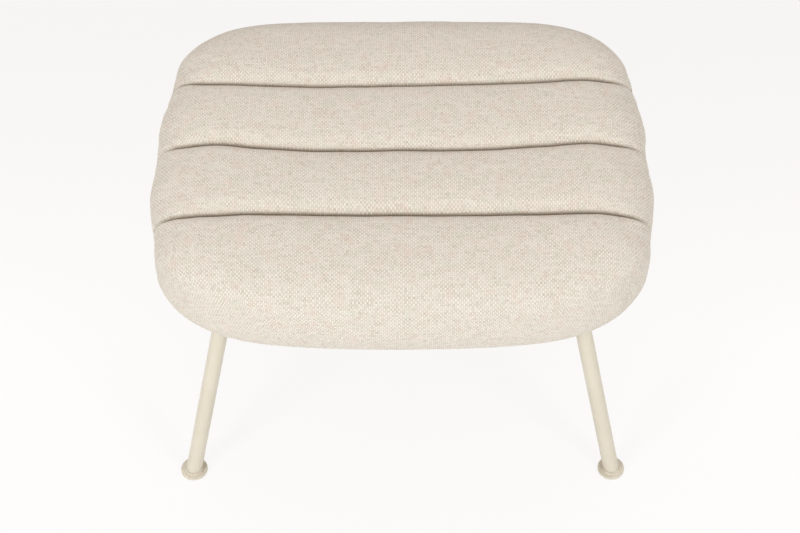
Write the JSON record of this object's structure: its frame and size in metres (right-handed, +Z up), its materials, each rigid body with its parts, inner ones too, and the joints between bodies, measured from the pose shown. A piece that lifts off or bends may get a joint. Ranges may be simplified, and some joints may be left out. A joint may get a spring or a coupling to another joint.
{
  "type": "footstool",
  "caption": "Upholstered footstool with a channelled rectangular seat of plump rolls on splayed round tube legs with small disc feet.",
  "frame": {"origin": "on the floor under the middle of the seat", "axes": "+X to the sitter's right along the rolls, +Y from the front to the back, +Z up"},
  "size_m": [0.5996, 0.486, 0.3913],
  "materials": {
    "cover_fabric": "matt woven",
    "web_fabric": "matt woven tape",
    "foam": "open-cell foam",
    "plywood": "sanded birch plywood",
    "black_cloth": "non-woven",
    "powder_coat": "satin powder coat",
    "felt": "dense felt",
    "zinc": "bright zinc plate"
  },
  "bodies": {
    "root": {"front_roll": "cover_fabric", "front_middle_roll": "cover_fabric", "rear_middle_roll": "cover_fabric", "rear_roll": "cover_fabric", "front_web": "web_fabric", "middle_web": "web_fabric", "rear_web": "web_fabric", "foam_slab": "foam", "deck": "plywood", "dust_cloth": "black_cloth", "front_left_leg": "powder_coat", "front_right_leg": "powder_coat", "rear_left_leg": "powder_coat", "rear_right_leg": "powder_coat", "front_left_plate": "powder_coat", "front_right_plate": "powder_coat", "rear_left_plate": "powder_coat", "rear_right_plate": "powder_coat", "front_left_disc": "powder_coat", "front_right_disc": "powder_coat", "rear_left_disc": "powder_coat", "rear_right_disc": "powder_coat", "front_left_glide": "felt", "front_right_glide": "felt", "rear_left_glide": "felt", "rear_right_glide": "felt", "bolts": "zinc", "tee_nuts": "zinc"}
  },
  "joints": []
}
